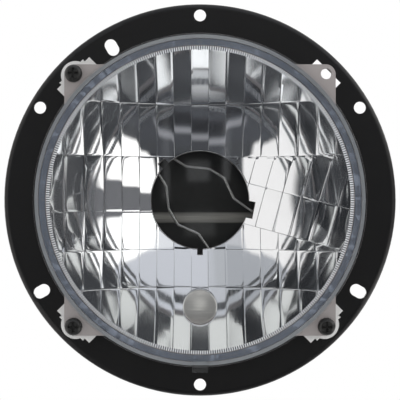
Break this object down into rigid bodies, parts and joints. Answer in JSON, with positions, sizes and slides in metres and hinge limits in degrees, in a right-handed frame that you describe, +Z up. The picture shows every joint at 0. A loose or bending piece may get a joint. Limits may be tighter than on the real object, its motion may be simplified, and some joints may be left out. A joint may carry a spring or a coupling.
{
  "type": "motorcycle headlight insert",
  "caption": "Round motorcycle headlight insert with a clear domed lens and faceted mirror reflector, aimed by screws in a flat black mounting ring.",
  "frame": {"origin": "halfway between the ring's top and bottom holes, which is the middle of the ring, on the back of its flat face", "axes": "+X to the right and +Z up as seen from the front, -Y the way the lamp shines"},
  "size_m": [0.146, 0.083, 0.146],
  "materials": {
    "ring_paint": "satin black paint on pressed sheet steel",
    "mirror_moulding": "moulded thermoset, vacuum aluminised inside the bowl, bare satin outside",
    "clear_lens": "clear, polished",
    "sealant": "matt blue grey sealing bead",
    "cover_rubber": "black moulded rubber",
    "spring_steel": "bright zinc plated spring steel",
    "black_steel": "black plated steel",
    "nylon": "natural nylon"
  },
  "bodies": {
    "ring": {"mounting_ring": "ring_paint", "upper_nut": "nylon", "pivot_nut": "nylon", "side_nut": "nylon", "pivot_screw": "black_steel", "pivot_retainer": "spring_steel"},
    "pivot": {"pivot_bush": "nylon"},
    "lamp": {"reflector": "mirror_moulding", "lens": "clear_lens", "lens_seal": "sealant", "rear_cover": "cover_rubber", "bulb_clip": "spring_steel", "clip_bracket": "spring_steel", "clip_screw": "spring_steel"},
    "upper_adjuster": {"upper_screw": "black_steel", "upper_retainer": "spring_steel"},
    "side_adjuster": {"side_screw": "black_steel", "side_retainer": "spring_steel"}
  },
  "joints": [
    {"name": "vertical_aim", "type": "hinge", "parent": "ring", "child": "pivot", "pos_m": [-0.046, -0.0101, -0.046], "axis": [1, 0, 0], "range_deg": [-2, 2]},
    {"name": "horizontal_aim", "type": "hinge", "parent": "pivot", "child": "lamp", "pos_m": [-0.046, -0.0101, -0.046], "axis": [0, 0, 1], "range_deg": [-2, 2]},
    {"name": "upper_screw_travel", "type": "slide", "parent": "ring", "child": "upper_adjuster", "axis": [0, -1, 0], "range_m": [-0.0033, 0.0033]},
    {"name": "side_screw_travel", "type": "slide", "parent": "ring", "child": "side_adjuster", "axis": [0, 1, 0], "range_m": [-0.0033, 0.0033]}
  ],
  "couplings": [
    {"joint": "upper_screw_travel", "follows": "vertical_aim", "m_per_rad": 0.092},
    {"joint": "side_screw_travel", "follows": "horizontal_aim", "m_per_rad": 0.092}
  ]
}
